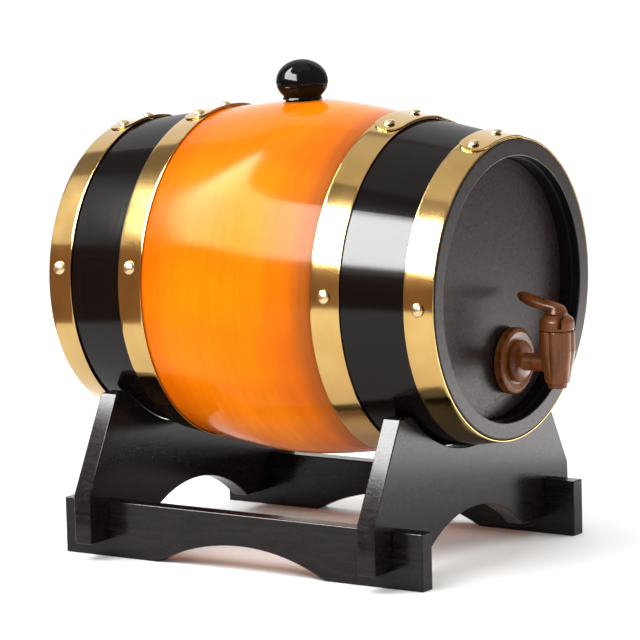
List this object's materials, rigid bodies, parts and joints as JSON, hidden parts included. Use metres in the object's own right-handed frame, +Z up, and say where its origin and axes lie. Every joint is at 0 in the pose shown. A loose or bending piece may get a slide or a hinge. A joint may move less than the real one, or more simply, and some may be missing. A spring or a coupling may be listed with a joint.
{
  "type": "oak wine barrel",
  "caption": "Small coopered oak barrel with riveted brass hoops, a lift-out bung and a turn tap, lying on a cross-lapped wooden stand.",
  "frame": {"origin": "on the surface that the stand rests on, under the middle of the whole object's box, tap included", "axes": "+Z up; the barrel's axis runs along Y and the head with the tap faces -Y, so that +X is to the right when looking along +Y at the tap"},
  "size_m": [0.21, 0.2866, 0.2779],
  "materials": {
    "oak_lacquer": "high-gloss amber lacquer, black between the outer hoops at both ends",
    "head_stain": "dark grey-brown satin stain",
    "hoop_brass": "polished",
    "bung_lacquer": "black gloss lacquer",
    "tap_plastic": "brown moulded plastic, semi-gloss",
    "seal_rubber": "matt black",
    "stand_stain": "black satin stain"
  },
  "bodies": {
    "stand": {"front_cradle": "stand_stain", "rear_cradle": "stand_stain", "left_rail": "stand_stain", "right_rail": "stand_stain"},
    "barrel": {"stave_01": "oak_lacquer", "stave_02": "oak_lacquer", "stave_03": "oak_lacquer", "stave_04": "oak_lacquer", "stave_05": "oak_lacquer", "stave_06": "oak_lacquer", "stave_07": "oak_lacquer", "stave_08": "oak_lacquer", "stave_09": "oak_lacquer", "stave_10": "oak_lacquer", "stave_11": "oak_lacquer", "stave_12": "oak_lacquer", "stave_13": "oak_lacquer", "stave_14": "oak_lacquer", "stave_15": "oak_lacquer", "stave_16": "oak_lacquer", "front_head": "head_stain", "rear_head": "head_stain", "front_chime_hoop": "hoop_brass", "front_chime_rivet_1": "hoop_brass", "front_chime_rivet_2": "hoop_brass", "front_chime_nail_left": "hoop_brass", "front_chime_nail_right": "hoop_brass", "front_bilge_hoop": "hoop_brass", "front_bilge_rivet_1": "hoop_brass", "front_bilge_rivet_2": "hoop_brass", "front_bilge_nail_left": "hoop_brass", "front_bilge_nail_right": "hoop_brass", "rear_bilge_hoop": "hoop_brass", "rear_bilge_rivet_1": "hoop_brass", "rear_bilge_rivet_2": "hoop_brass", "rear_bilge_nail_left": "hoop_brass", "rear_bilge_nail_right": "hoop_brass", "rear_chime_hoop": "hoop_brass", "rear_chime_rivet_1": "hoop_brass", "rear_chime_rivet_2": "hoop_brass", "rear_chime_nail_left": "hoop_brass", "rear_chime_nail_right": "hoop_brass", "tap_outer_seal": "seal_rubber", "tap_flange": "tap_plastic", "tap_inner_seal": "seal_rubber", "tap_nut": "tap_plastic", "tap_body": "tap_plastic"},
    "bung": {"bung_knob": "bung_lacquer", "bung_plug": "bung_lacquer"},
    "tap_turning_part": {"tap_key": "tap_plastic", "tap_handle": "tap_plastic"}
  },
  "joints": [
    {"name": "barrel_lift", "type": "slide", "parent": "stand", "child": "barrel", "axis": [0, 0, 1], "range_m": [0, 0.1]},
    {"name": "bung_pull", "type": "slide", "parent": "barrel", "child": "bung", "axis": [0, 0, 1], "range_m": [0, 0.05]},
    {"name": "tap_turn", "type": "hinge", "parent": "barrel", "child": "tap_turning_part", "pos_m": [0.013, -0.1332, 0.113], "axis": [0, 0, 1], "range_deg": [0, 90]}
  ]
}
